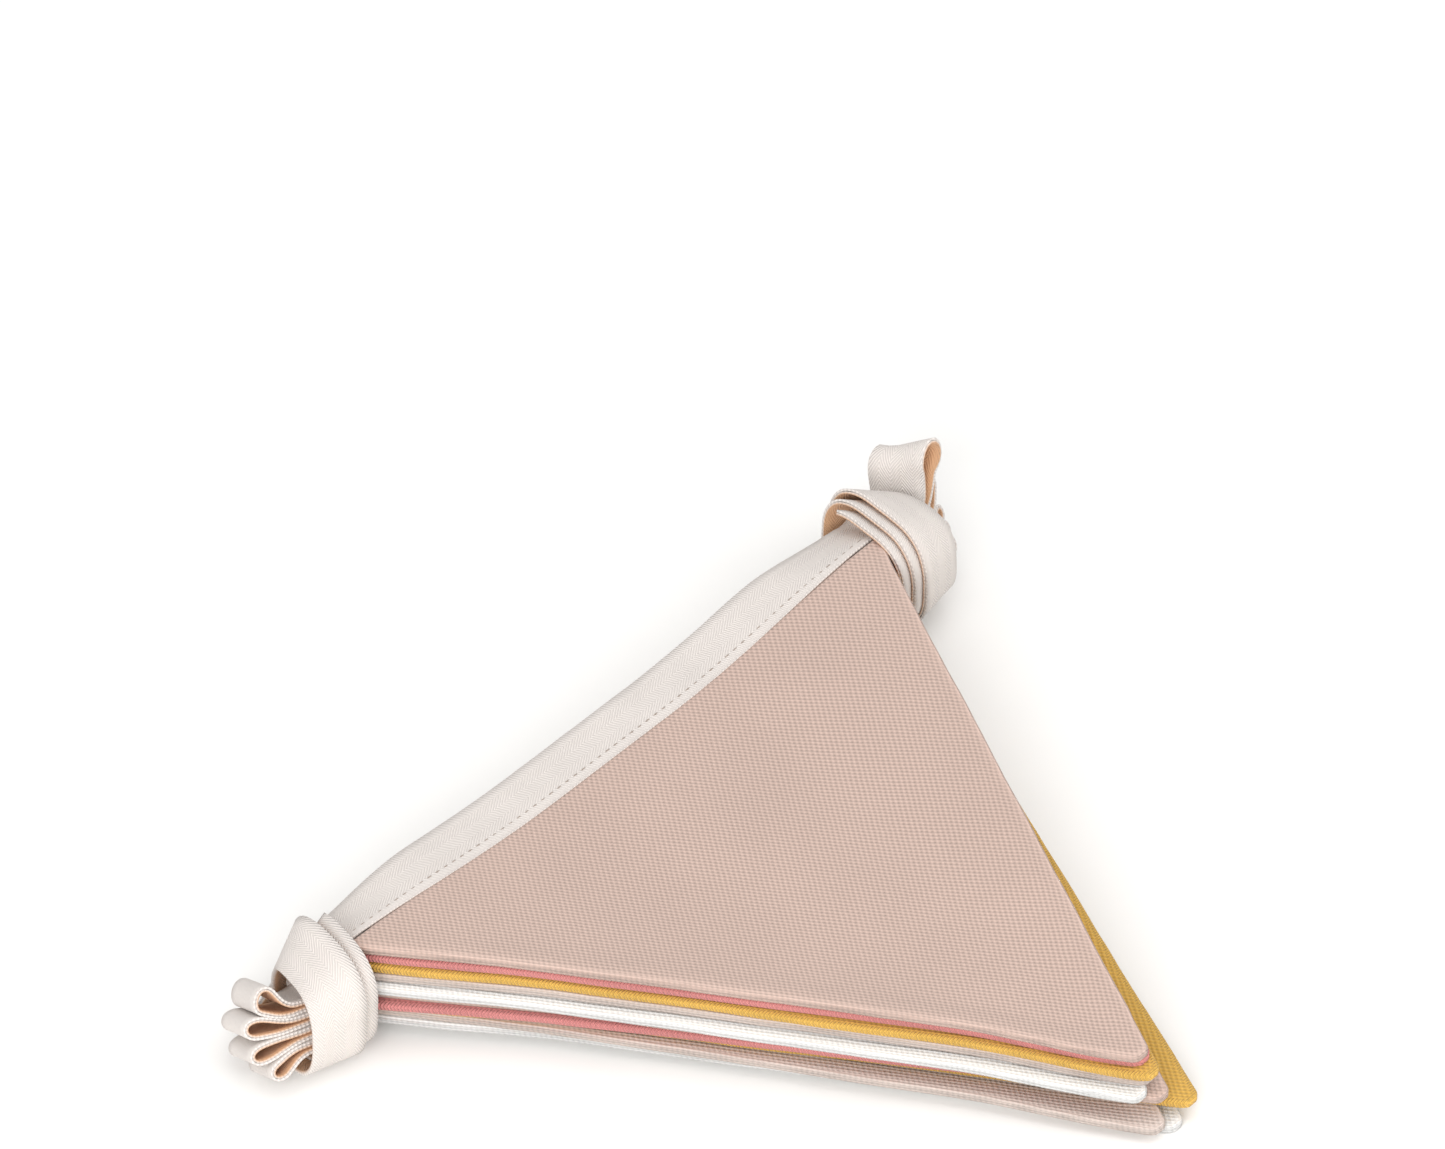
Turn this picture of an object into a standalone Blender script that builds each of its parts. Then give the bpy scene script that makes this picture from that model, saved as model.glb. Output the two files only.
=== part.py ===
"""Fabric bunting folded into a stack: ten double canvas flags on one folded tape.

The tape runs along X, the flags point towards -Y, and the stack rests on z = 0.
Between two flags the tape turns back in a loop, by turns at the right and the left end,
and a length of tape is wound round each bundle of loops.
"""

import math

import bmesh
import bpy
from mathutils import Vector

MM = 0.001

# Middle of the whole folded stack, measured from the left corner of the top flag, in millimetres
STACK_MIDDLE = Vector((99.65, -77.9, 0.0))

# Flags and tape, in millimetres
FLAG_WIDTH = 200.0
FLAG_HEIGHT = 171.6
FLAG_THICK = 2.3
FLAG_PITCH = 2.6
EDGE_ROUND = 0.7
TIP_WIDTH = 5.0
TAPE_WIDTH = 15.0
TAPE_THICK = 1.3
TAPE_WALL = 0.6
TONGUE_THICK = 0.6
TONGUE_DEPTH = 9.7
TONGUE_INSET = 10.0
GAP = 0.3
ALONG_TAPE = (18.0, 34.0, 54.0, 76.0, 100.0, 124.0, 146.0, 166.0, 182.0)

# The ends of the stack ride up on the tape wound beneath them
LIFT_LEFT = 5.0
LIFT_RIGHT = 6.8
LIFT_REACH = 84.0

FLAG_COLUMNS = ("name", "colour", "shift_x", "shift_y", "turn_deg", "longer", "tip_skew")
FLAGS = (
    ("flag_01_white", "white", 4.0, -3.0, 0.3, 4.5, 3.5),
    ("flag_02_beige", "beige", 2.5, -2.5, -1.0, 4.0, 3.5),
    ("flag_03_mustard", "mustard", 1.5, -2.5, 1.2, 5.5, 6.5),
    ("flag_04_pink", "pink", -1.5, -1.5, 0.9, -1.5, 5.5),
    ("flag_05_peach", "peach", 1.5, -2.5, 0.8, 2.4, 1.9),
    ("flag_06_white", "white", -1.5, -2.5, 0.3, 0.0, 0.9),
    ("flag_07_beige", "beige", 0.5, -1.5, 0.3, 0.0, 3.0),
    ("flag_08_mustard", "mustard", 1.0, -1.5, 0.5, 1.5, 1.7),
    ("flag_09_pink", "pink", 0.5, -0.5, 0.3, -1.0, 3.3),
    ("flag_10_peach", "peach", 0.0, 0.0, 0.0, 0.0, 3.5),
)
COLOURS = {
    "white": (0.88, 0.88, 0.87),
    "beige": (0.66, 0.54, 0.47),
    "mustard": (0.72, 0.40, 0.08),
    "pink": (0.58, 0.16, 0.15),
    "peach": (0.68, 0.50, 0.43),
    "tape": (0.84, 0.77, 0.70),
}

# How each bundle of tape leaves the corners of the flags, up to where its loops fan out
BUNDLES = {
    "left": {
        "corner": (0.0, 7.5), "lift": LIFT_LEFT, "out": (-1.0, 0.0, 0.0),
        "root": (-14.5, 3.2, 13.6), "root_out": (-0.93, 0.36, -0.03), "root_across": (0.33, 0.80, -0.50),
    },
    "right": {
        "corner": (FLAG_WIDTH, 7.5), "lift": LIFT_RIGHT, "out": (1.0, 0.0, 0.0),
        "root": (218.0, 5.0, 16.6), "root_out": (0.85, 0.50, 0.10), "root_across": (-0.33, 0.82, -0.42),
    },
}
ROOT_PITCH = 1.75
ROOT_REACH = 20.0

LOOP_COLUMNS = ("fan_deg", "reach", "width")
LOOPS = {
    "left": ((28.0, 12.0, 5.0), (10.0, 15.5, 3.2), (-4.0, 15.5, 3.0), (-17.0, 12.0, 2.6)),
    "right": ((58.0, 15.0, 4.4), (14.0, 14.0, 3.2), (0.0, 10.0, 2.4), (-9.0, 9.0, 2.2), (-18.0, 8.0, 2.2)),
}

# The wound tape follows two ovals, one at its flag side and one at its loop side
WINDINGS = {
    "winding_left": {
        "turns": 1.93, "start_deg": 62.0, "slant": 0.45, "step_x": -4.6,
        "flag_side": {"x": 1.0, "y": 3.4, "z": 18.8, "half_y": 15.2, "half_z": 15.4},
        "loop_side": {"x": -13.0, "y": 4.4, "z": 17.0, "half_y": 12.8, "half_z": 13.2},
    },
    "winding_right": {
        "turns": 2.93, "start_deg": 62.0, "slant": -0.40, "step_x": 3.2,
        "flag_side": {"x": 198.0, "y": 3.4, "z": 20.9, "half_y": 15.2, "half_z": 15.6},
        "loop_side": {"x": 212.0, "y": 5.0, "z": 19.2, "half_y": 12.6, "half_z": 13.0},
    },
}
WINDING_SQUARENESS = 4.8
STEPS_PER_TURN = 20
LOOP_STEPS = 9


def clear_scene():
    for thing in list(bpy.data.objects):
        bpy.data.objects.remove(thing, do_unlink=True)


def material(colour_name):
    name = "canvas_" + colour_name if colour_name != "tape" else "cotton_tape"
    made = bpy.data.materials.get(name)
    if made:
        return made
    made = bpy.data.materials.new(name)
    made.use_nodes = True
    shader = made.node_tree.nodes["Principled BSDF"]
    shader.inputs["Base Color"].default_value = (*COLOURS[colour_name], 1.0)
    shader.inputs["Roughness"].default_value = 0.9
    shader.inputs["Metallic"].default_value = 0.0
    return made


def loft(name, rings, colour_name):
    """A closed solid through rings of equally many points, in millimetres, with both ends capped."""
    mesh = bmesh.new()
    loops = [[mesh.verts.new((Vector(point) - STACK_MIDDLE) * MM) for point in ring] for ring in rings]
    count = len(rings[0])
    for before, after in zip(loops, loops[1:]):
        for k in range(count):
            following = (k + 1) % count
            mesh.faces.new((before[k], before[following], after[following], after[k]))
    mesh.faces.new(list(reversed(loops[0])))
    mesh.faces.new(loops[-1])
    bmesh.ops.triangulate(mesh, faces=mesh.faces[:], quad_method="BEAUTY", ngon_method="EAR_CLIP")
    bmesh.ops.recalc_face_normals(mesh, faces=mesh.faces[:])
    data = bpy.data.meshes.new(name)
    mesh.to_mesh(data)
    mesh.free()
    made = bpy.data.objects.new(name, data)
    data.materials.append(material(colour_name))
    bpy.context.scene.collection.objects.link(made)
    return made


def smooth(value):
    value = min(1.0, max(0.0, value))
    return value * value * (3.0 - 2.0 * value)


def lift(x, y):
    """How far the stack is raised at a point by the tape wound under its two ends."""
    down = min(1.0, max(0.0, -y / FLAG_HEIGHT))
    width = FLAG_WIDTH * (1.0 - down)
    from_left = min(width, max(0.0, x - FLAG_WIDTH / 2 * down))
    reach = LIFT_REACH * max(0.02, 1.0 - down)
    near_left = max(0.0, 1.0 - (from_left / reach) ** 2)
    near_right = max(0.0, 1.0 - ((width - from_left) / reach) ** 2)
    return (LIFT_LEFT * near_left**3 + LIFT_RIGHT * near_right**3) * (1.0 - down)


def placed(flag, x, y):
    """A point of a flag's own plan, shifted and turned about the middle of its tape."""
    turn = math.radians(flag["turn_deg"])
    along = x - FLAG_WIDTH / 2
    across = y - TAPE_WIDTH / 2
    return (
        FLAG_WIDTH / 2 + along * math.cos(turn) - across * math.sin(turn) + flag["shift_x"],
        TAPE_WIDTH / 2 + along * math.sin(turn) + across * math.cos(turn) + flag["shift_y"],
    )


def flag_solid(flag, level):
    """One double-layer flag: a tongue held in the tape, then the triangle with rounded edges."""
    height = FLAG_HEIGHT + flag["longer"]
    centre_z = level * FLAG_PITCH + FLAG_THICK / 2
    rows = [(TONGUE_DEPTH, TONGUE_THICK), (-GAP, TONGUE_THICK), (-GAP - 0.2, FLAG_THICK)]
    rows += [(-height * share, FLAG_THICK) for share in (0.08, 0.24, 0.42, 0.6, 0.78, 0.93, 1.0)]
    rings = []
    for y, thick in rows:
        left = max(0.0, -y) * (FLAG_WIDTH - TIP_WIDTH) / 2 / height
        right = FLAG_WIDTH - left
        if thick == TONGUE_THICK:
            left += TONGUE_INSET
            right -= TONGUE_INSET
        if y == rows[-1][0]:
            left += EDGE_ROUND * 1.5
            right -= EDGE_ROUND * 1.5
        inner = [left + (right - left) * x / FLAG_WIDTH for x in ALONG_TAPE]
        if thick == TONGUE_THICK:
            inner = list(ALONG_TAPE)
        plan = [left, *inner, right]
        upper = [(x, y, thick / 2) for x in plan]
        lower = [(x, y, -thick / 2) for x in reversed(plan)]
        ring = upper + [(right + EDGE_ROUND, y, 0.0)] + lower + [(left - EDGE_ROUND, y, 0.0)]
        points = []
        for x, own_y, z in ring:
            slip = flag["tip_skew"] * max(0.0, -own_y / height)
            world_x, world_y = placed(flag, x + slip, own_y)
            points.append((world_x, world_y, centre_z + z + lift(world_x, world_y)))
        rings.append(points)
    return loft(flag["name"], rings, flag["colour"])


def bundle_frame(side, s):
    """Centre, direction across the tape, upward direction and layer pitch, s mm out from the corner."""
    bundle = BUNDLES[side]
    share = smooth(s / ROOT_REACH)
    corner = Vector((*bundle["corner"], 5 * FLAG_PITCH - GAP / 2 + bundle["lift"]))
    root = Vector(bundle["root"])
    out = Vector(bundle["out"])
    root_out = Vector(bundle["root_out"]).normalized()
    from_corner = corner + out * s
    from_root = root + root_out * (s - ROOT_REACH)
    centre = from_corner.lerp(from_root, share)
    across = Vector((0.0, 1.0, 0.0)).lerp(Vector(bundle["root_across"]), share)
    heading = out.lerp(root_out, share).normalized()
    across = (across - heading * across.dot(heading)).normalized()
    up = heading.cross(across)
    if up.z < 0.0:
        up = -up
    pitch = FLAG_PITCH + (ROOT_PITCH - FLAG_PITCH) * smooth((s - 2.5) / 9.0)
    return centre, heading, across, up, pitch


def strip_point(side, level, flag, s):
    """Middle of the tape of one flag, s mm out from the flag's corner, and its direction across."""
    centre, heading, across, up, pitch = bundle_frame(side, max(0.0, s))
    in_bundle = centre + up * ((level - 4.5) * pitch)
    corner_x = 0.0 if side == "left" else FLAG_WIDTH
    outward = -1.0 if side == "left" else 1.0
    x, y = placed(flag, corner_x + outward * s, TAPE_WIDTH / 2)
    in_stack = Vector((x, y, level * FLAG_PITCH + FLAG_THICK / 2 + lift(x, y)))
    turn = math.radians(flag["turn_deg"])
    stack_across = Vector((-math.sin(turn), math.cos(turn), 0.0))
    share = smooth((s - 2.0) / 8.0)
    return in_stack.lerp(in_bundle, share), stack_across.lerp(across, share).normalized()


def run_stations(level, flag, rightwards):
    """Stations of the tape along one flag, from one bundle root to the other: centre, across, thickness."""
    outside = [20.0, 16.0, 12.0, 8.5, 5.0, 1.5]
    inside = [-3.0, -9.0] + [-x for x in ALONG_TAPE if x < FLAG_WIDTH / 2]
    stations = []
    for side in ("left", "right"):
        part = []
        for s in outside + inside:
            centre, across = strip_point(side, level, flag, s)
            thick = TAPE_THICK if s > 1.0 else FLAG_THICK
            part.append((centre, across, thick, s < -3.5))
        stations.append(part)
    middle, across = strip_point("left", level, flag, -FLAG_WIDTH / 2)
    path = stations[0] + [(middle, across, FLAG_THICK, True)] + list(reversed(stations[1]))
    return path if rightwards else list(reversed(path))


def loop_stations(side, upper_level, fan_deg, reach, width):
    """Stations round one loop, from the upper layer to the lower one, in a tear shape."""
    centre, heading, across, up, pitch = bundle_frame(side, ROOT_REACH)
    middle = centre + up * ((upper_level - 0.5 - 4.5) * pitch)
    stations = []
    for k in range(1, LOOP_STEPS):
        angle = math.pi * k / LOOP_STEPS
        along = reach * math.sin(angle)
        beside = pitch / 2 * math.cos(angle) + width / 2 * math.sin(2 * angle) * math.sin(angle) / 0.77
        bend = math.radians(fan_deg) * smooth(along / (0.8 * reach))
        stations.append((
            middle + heading * (along * math.cos(bend) - beside * math.sin(bend))
            + up * (along * math.sin(bend) + beside * math.cos(bend)),
            across, TAPE_THICK, False,
        ))
    return stations


def tape_rings(stations):
    """Section rings of the folded tape: two layers joined at the far edge, open towards the flags."""
    rings = []
    for k, (centre, across, thick, holds_flag) in enumerate(stations):
        before = stations[max(0, k - 1)][0]
        after = stations[min(len(stations) - 1, k + 1)][0]
        heading = (after - before).normalized()
        across = (across - heading * across.dot(heading)).normalized()
        normal = heading.cross(across)
        slot = (thick / 2 - TAPE_WALL) if holds_flag else 0.12
        depth = TONGUE_DEPTH + GAP + 0.4 if holds_flag else 0.5
        half = TAPE_WIDTH / 2
        section = (
            (-half, -thick / 2), (half, -thick / 2), (half, thick / 2), (-half, thick / 2),
            (-half, slot), (depth - half, slot), (depth - half, -slot), (-half, -slot),
        )
        rings.append([centre + across * v + normal * n for v, n in section])
    return rings


def tape_solid(flags):
    """The whole folded tape, back and forth through the ten flags with a loop at each turn."""
    stations = []
    made = {"left": 0, "right": 0}
    for level in range(len(flags) - 1, -1, -1):
        rightwards = (len(flags) - 1 - level) % 2 == 0
        run = run_stations(level, flags[level], rightwards)
        if level == len(flags) - 1:
            run = run[2:]
        if level == 0:
            run = run[:-2]
        stations += run
        if level == 0:
            break
        side = "right" if rightwards else "left"
        fan_deg, reach, width = LOOPS[side][made[side]]
        made[side] += 1
        stations += loop_stations(side, level, fan_deg, reach, width)
    return loft("tape", tape_rings(stations), "tape")


def oval_point(oval, angle, grown):
    """A point of a squarish oval around the bundle, pushed outwards by what lies beneath it."""
    power = 2.0 / WINDING_SQUARENESS
    cosine, sine = math.cos(angle), math.sin(angle)
    return (
        oval["y"] + (oval["half_y"] + grown) * math.copysign(abs(cosine) ** power, cosine),
        oval["z"] + (oval["half_z"] + grown) * math.copysign(abs(sine) ** power, sine),
    )


def winding_solid(name):
    """A length of tape wound round a bundle, each turn over the last and further out."""
    winding = WINDINGS[name]
    steps = round(winding["turns"] * STEPS_PER_TURN)
    edges = []
    for k in range(steps + 1):
        turned = k / STEPS_PER_TURN
        angle = math.radians(winding["start_deg"]) + 2.0 * math.pi * turned
        grown = turned * (TAPE_THICK + GAP)
        ends = []
        for side in ("flag_side", "loop_side"):
            y, z = oval_point(winding[side], angle, grown)
            x = winding[side]["x"] + winding["slant"] * y + winding["step_x"] * turned
            ends.append(Vector((x, y, z)))
        edges.append(ends)
    rings = []
    for k, (flag_end, loop_end) in enumerate(edges):
        before = edges[max(0, k - 1)]
        after = edges[min(steps, k + 1)]
        across = (loop_end - flag_end).normalized()
        ahead = ((after[0] + after[1]) - (before[0] + before[1])).normalized()
        normal = ahead.cross(across).normalized() * (TAPE_THICK / 2)
        rings.append([flag_end - normal, loop_end - normal, loop_end + normal, flag_end + normal])
    return loft(name, rings, "tape")


def main():
    clear_scene()
    flags = [dict(zip(FLAG_COLUMNS, row)) for row in FLAGS]
    for level, flag in enumerate(flags):
        flag_solid(flag, level)
    tape_solid(flags)
    for name in WINDINGS:
        winding_solid(name)


main()
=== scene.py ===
"""Fabric bunting folded into a stack: canvas flags, a folded cotton tape and its wound ends."""

import math

import bpy
from bpy.props import FloatProperty, FloatVectorProperty, IntProperty, PointerProperty
from mathutils import Matrix, Vector, noise


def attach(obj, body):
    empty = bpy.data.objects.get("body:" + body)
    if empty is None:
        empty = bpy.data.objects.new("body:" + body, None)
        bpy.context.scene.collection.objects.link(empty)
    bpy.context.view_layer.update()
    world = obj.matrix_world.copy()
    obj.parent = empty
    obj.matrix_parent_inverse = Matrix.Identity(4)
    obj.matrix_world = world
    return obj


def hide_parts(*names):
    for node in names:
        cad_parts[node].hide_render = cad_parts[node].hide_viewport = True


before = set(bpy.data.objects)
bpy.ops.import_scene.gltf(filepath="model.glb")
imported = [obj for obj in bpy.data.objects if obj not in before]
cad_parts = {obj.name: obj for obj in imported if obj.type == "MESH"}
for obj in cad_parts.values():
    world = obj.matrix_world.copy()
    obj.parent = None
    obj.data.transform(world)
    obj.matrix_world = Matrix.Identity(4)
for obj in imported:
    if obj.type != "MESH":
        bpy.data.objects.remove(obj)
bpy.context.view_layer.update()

bl_info = {
    "name": "Folded Fabric Bunting",
    "version": (1, 0, 0),
    "blender": (4, 5, 0),
    "location": "View3D > Sidebar > Bunting",
    "description": "Builds a stack of canvas flags on a folded tape, wound at both ends",
    "category": "Add Mesh",
}

MM = 0.001
BODY = "root"

# Sizes of the folded stack in millimetres, as in the part's source
STACK_MIDDLE = Vector((99.65, -77.9, 0.0))
FLAG_WIDTH = 200.0
FLAG_HEIGHT = 171.6
FLAG_THICK = 2.3
FLAG_PITCH = 2.6
TAPE_WIDTH = 15.0
TAPE_THICK = 1.3
TONGUE_DEPTH = 9.0
GAP = 0.3
# How far the tape wound under the ends lifts the stack, how the tips droop, the radius of the rounded tips
# and how the tape sags towards the ends, in millimetres
LIFT_LEFT = 5.0
LIFT_RIGHT = 6.8
LIFT_REACH = 84.0
TIP_DROOP = 1.2
TIP_DROOP_START = 0.72
TIP_RADIUS = 4.0
TAPE_SAG = 6.5
SAG_REACH = 40.0

# A flag's seamed edge: hollowed plan, round fold, padded border and the rim, painted paler as a highlight on
# the rounded fold
EDGE_SLOPE = 0.874
EDGE_HOLLOW = {"left": 2.8, "right": 0.4}
HOLLOW_START = 0.25
HOLLOW_END = 0.22
SEAM_FOLD = 1.15
SEAM_GROOVE = 0.35
BORDER_WIDTH = 4.2
BORDER_FADE = 4.0
BORDER_RISE = 0.28
RIM_WIDTH = 2.2
RIM_FADE = 1.2
CALM_TIP = 8.0
CALM_FADE = 14.0
LEAST_HALF_WIDTH = 0.05
EDGE_STEPS = (0.0, 0.12, 0.4, 0.8, 1.3, 2.2, 3.8, 5.6, 6.6, 7.6)
MIDDLE_STEPS = 20
LENGTH_STEPS = 44
TIP_STEPS = 8
TONGUE_INSET = 10.0
TONGUE_HALF_THICK = 0.3

# Unevenness of the cloth: how far it moves, and how quickly that changes along it
SOFT_WAVES = ((0.16, 0.022, 3.1), (0.07, 0.07, 8.4))
OWN_HEAVE = 0.10
OWN_HEAVE_PACE = 0.03
EDGE_WAVES = ((0.45, 0.035, 7.7), (0.16, 0.14, 3.1))
TAPE_RUFFLE = 0.12
TAPE_RUFFLE_PACE = 0.16

FLAG_COLUMNS = ("node", "cloth", "shift_x", "shift_y", "turn_deg", "longer", "tip_skew")
FLAGS = (
    ("flag_01_white", "white", 4.0, -3.0, 0.3, 4.5, 3.5),
    ("flag_02_beige", "beige", 2.5, -2.5, -1.0, 4.0, 3.5),
    ("flag_03_mustard", "mustard", 3.4, -2.5, 1.2, 5.5, 6.5),
    ("flag_04_pink", "pink", -1.5, -1.5, 0.9, -1.5, 5.5),
    ("flag_05_peach", "peach", 1.5, -2.5, 0.8, 2.4, 1.9),
    ("flag_06_white", "white", -1.5, -2.5, 0.3, 0.0, 0.9),
    ("flag_07_beige", "beige", 0.5, -1.5, 0.3, 0.0, 3.0),
    ("flag_08_mustard", "mustard", 1.0, -1.5, 0.5, 1.5, 1.7),
    ("flag_09_pink", "pink", 0.5, -0.5, 0.3, -1.0, 3.3),
    ("flag_10_peach", "peach", 0.0, 0.0, 0.0, 0.0, 3.5),
)
TOP_LEVEL = len(FLAGS) - 1

# The tape beyond the flags: bundles that gather it, loops and windings
BUNDLES = {
    "left": {
        "corner": (0.0, 7.5), "lift": LIFT_LEFT, "out": (-1.0, 0.0, 0.0),
        "root": (-14.5, 3.2, 13.6), "root_out": (-0.93, 0.36, -0.03), "root_across": (0.33, 0.80, -0.50),
    },
    "right": {
        "corner": (FLAG_WIDTH, 7.5), "lift": LIFT_RIGHT, "out": (1.0, 0.0, 0.0),
        "root": (218.0, 5.0, 16.6), "root_out": (0.85, 0.50, 0.10), "root_across": (-0.33, 0.82, -0.42),
    },
}
ROOT_PITCH = 1.75
ROOT_REACH = 20.0
ROOT_STEP = 1.25
ROOT_STEPS = 16
FREE_END_STEPS = 8
STACK_STEP = 4.0
STACK_STEPS = 25
SLOT_IN_LOOP = 0.06
SLOT_ON_FLAG = 0.50
SLOT_IN_WINDING = 0.08
# Which side of the tape faces into its loops and windings, along the strip's own normal; that side is painted
# with the warm inside shade
INNER_FACE = {"left": 1.0, "right": -1.0}
LOOP_STEPS = 30
TEAR_PEAK = 0.77
# Each loop from the top down: turned up by (degrees), reach, width, sideways drift
LOOPS = {
    "left": (
        (28.0, 12.0, 5.0, 0.0),
        (10.0, 15.5, 3.2, 0.0),
        (-4.0, 15.5, 3.0, 0.0),
        (-17.0, 12.0, 2.6, 0.0),
    ),
    "right": (
        (36.0, 18.0, 5.6, -6.0),
        (16.0, 14.0, 3.2, 0.0),
        (0.0, 8.5, 2.4, 0.0),
        (-9.0, 7.0, 2.2, 0.0),
        (-18.0, 5.5, 2.2, 0.0),
    ),
}
WINDINGS = {
    "winding_left": {
        "turns": 1.80, "start_deg": 62.0, "step_x": -4.6,
        "flag_side": {"x": 2.5, "slant": 0.15, "y": 3.0, "z": 17.8, "half_y": 14.2, "half_z": 14.8},
        "loop_side": {"x": -11.5, "slant": 0.40, "y": 3.4, "z": 15.4, "half_y": 9.8, "half_z": 10.8},
    },
    "winding_right": {
        "turns": 2.80, "start_deg": 62.0, "step_x": 3.4,
        "flag_side": {"x": 196.0, "slant": 0.35, "y": 3.0, "z": 19.8, "half_y": 14.2, "half_z": 14.8},
        "loop_side": {"x": 212.3, "slant": -0.25, "y": 4.0, "z": 17.4, "half_y": 10.9, "half_z": 11.0},
    },
}
WINDING_GROWTH = 0.9
WINDING_SQUARENESS = 2.8
WINDING_STEPS_PER_TURN = 72

STITCH_FROM_EDGE = 2.6
STITCH_FROM_CORNER = 4.0
STITCH_LINE_STEPS = 48
THREAD_THICK = 0.32
THREAD_PROUD = 0.05

# Camera: the photograph's frame, and where the left corner of the top flag falls in it
PHOTO_WIDTH = 1445
PHOTO_HEIGHT = 1149
CORNER_PIXEL = (344.0, 946.0)
PIXELS_PER_MM = 4.108
CAMERA_AZIMUTH_DEG = -49.0
CAMERA_ELEVATION_DEG = 41.0
CAMERA_LENS_MM = 400.0
SENSOR_MM = 36.0
CAMERA_CLIP_M = 100.0

FLOOR_HALF_M = 6.0
WORLD_STRENGTH = 0.74
LIGHT_COLUMNS = ("name", "azimuth_deg", "elevation_deg", "distance", "size", "watts")
LIGHTS = (
    ("key_softbox", -62.0, 30.0, 1.6, 1.0, 15.0),
    ("top_softbox", -20.0, 78.0, 1.8, 1.6, 9.0),
    ("fill_softbox", 20.0, 30.0, 2.2, 1.4, 8.0),
)


def smooth(value):
    value = min(1.0, max(0.0, value))
    return value * value * (3.0 - 2.0 * value)


def to_world(point):
    return (Vector(point) - STACK_MIDDLE) * MM


def lift(x, y):
    """How far the stack is raised at a point by the tape wound under its two ends."""
    down = min(1.0, max(0.0, -y / FLAG_HEIGHT))
    width = FLAG_WIDTH * (1.0 - down)
    from_left = min(width, max(0.0, x - FLAG_WIDTH / 2 * down))
    reach = LIFT_REACH * max(0.02, 1.0 - down)
    near_left = max(0.0, 1.0 - (from_left / reach) ** 2)
    near_right = max(0.0, 1.0 - ((width - from_left) / reach) ** 2)
    return (LIFT_LEFT * near_left**3 + LIFT_RIGHT * near_right**3) * (1.0 - down)


def sag(level, x, y):
    """How far the free side of the tape is pulled down towards the wound ends, most at the top."""
    near_end = smooth(1.0 - max(0.0, min(x, FLAG_WIDTH - x)) / SAG_REACH)
    return TAPE_SAG * level / TOP_LEVEL * near_end * min(1.0, max(0.0, y / TAPE_WIDTH))


def placed(flag, x, y):
    """A point of a flag's own plan, shifted and turned about the middle of its tape."""
    turn = math.radians(flag["turn_deg"])
    along = x - FLAG_WIDTH / 2
    across = y - TAPE_WIDTH / 2
    return (
        FLAG_WIDTH / 2 + along * math.cos(turn) - across * math.sin(turn) + flag["shift_x"],
        TAPE_WIDTH / 2 + along * math.sin(turn) + across * math.cos(turn) + flag["shift_y"],
    )


def flag_rows():
    return [dict(zip(FLAG_COLUMNS, row)) for row in FLAGS]


# Properties


class BuntingSizes(bpy.types.PropertyGroup):
    thread_along: FloatProperty(
        name="Thread Spacing Along", description="Spacing of the canvas threads along the tape",
        default=0.00075, min=0.0003, unit="LENGTH")
    thread_across: FloatProperty(
        name="Thread Spacing Across", description="Spacing of the canvas threads across the flag",
        default=0.00104, min=0.0003, unit="LENGTH")
    weave_turn: FloatProperty(
        name="Weave Turn", description="How far the cut is off the grain of the canvas",
        default=math.radians(4.5), subtype="ANGLE")
    twill_pitch: FloatProperty(
        name="Twill Pitch", description="Spacing of the diagonal ribs of the tape",
        default=0.0011, min=0.0003, unit="LENGTH")
    stitch_length: FloatProperty(
        name="Stitch Length", description="Length of one stitch on the tape",
        default=0.0015, min=0.0005, unit="LENGTH")
    stitch_pitch: FloatProperty(
        name="Stitch Pitch", description="Distance from one stitch to the next",
        default=0.0030, min=0.001, unit="LENGTH")
    seed: IntProperty(
        name="Seed", description="Seed for the unevenness of the stitches", default=4)


def colour_property(name, value):
    return FloatVectorProperty(
        name=name, description=f"Colour of the {name.lower()} cloth, as sRGB",
        default=value, size=3, min=0.0, max=1.0, subtype="COLOR_GAMMA")


def srgb(code):
    return tuple(int(code[k:k + 2], 16) / 255 for k in (0, 2, 4))


class BuntingColours(bpy.types.PropertyGroup):
    white: colour_property("White", srgb("DDDCDA"))
    beige: colour_property("Beige", srgb("CDBEB5"))
    mustard: colour_property("Mustard", srgb("D0A54E"))
    pink: colour_property("Pink", srgb("C87F7C"))
    peach: colour_property("Peach", srgb("C3AA9E"))
    tape: colour_property("Tape", srgb("DFD7D1"))
    # Painted shade: the warm orange-brown given to the tape's faces inside its loops and windings.
    tape_inside: colour_property("Tape Inside Shade", srgb("CFA27C"))
    thread: colour_property("Thread", srgb("A09288"))
    floor: colour_property("Floor", srgb("F6F5F3"))


def linear(colour):
    """An sRGB colour as the linear RGBA that shader sockets take."""
    parts = [c / 12.92 if c <= 0.04045 else ((c + 0.055) / 1.055) ** 2.4 for c in colour]
    return (*parts, 1.0)


# Materials


def add_node(tree, kind, links=None, values=None, **settings):
    """Adds a shader node with its settings, socket values and incoming links."""
    node = tree.nodes.new(kind)
    for name, value in settings.items():
        setattr(node, name, value)
    for socket, value in (values or {}).items():
        node.inputs[socket].default_value = value
    for socket, source in (links or {}).items():
        tree.links.new(source, node.inputs[socket])
    return node


def shaded(colour, factor):
    return (*[min(1.0, c * factor) for c in colour[:3]], 1.0)


def new_material(name, roughness, sheen):
    made = bpy.data.materials.new(name)
    made.use_nodes = True
    shader = made.node_tree.nodes["Principled BSDF"]
    shader.inputs["Roughness"].default_value = roughness
    shader.inputs["Sheen Weight"].default_value = sheen
    shader.inputs["Sheen Roughness"].default_value = 0.6
    shader.inputs["Specular IOR Level"].default_value = 0.25
    return made, made.node_tree, shader


# Cloths whose seamed edges show ribs across the fold; on the others they run along it
CROSS_RIBBED = {"pink", "mustard"}
CROSS_RIB_PITCH = 0.00070
RIB_PITCH = 0.00046
# How dark the sunk thread crossings are painted, cloth by cloth, as painted shade, and how bright the raised
# ones, as painted highlight
WEAVE_SHADE = {"white": 0.80, "beige": 0.70, "mustard": 0.66, "pink": 0.70, "peach": 0.60}
WEAVE_LIGHT = 1.15


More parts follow.
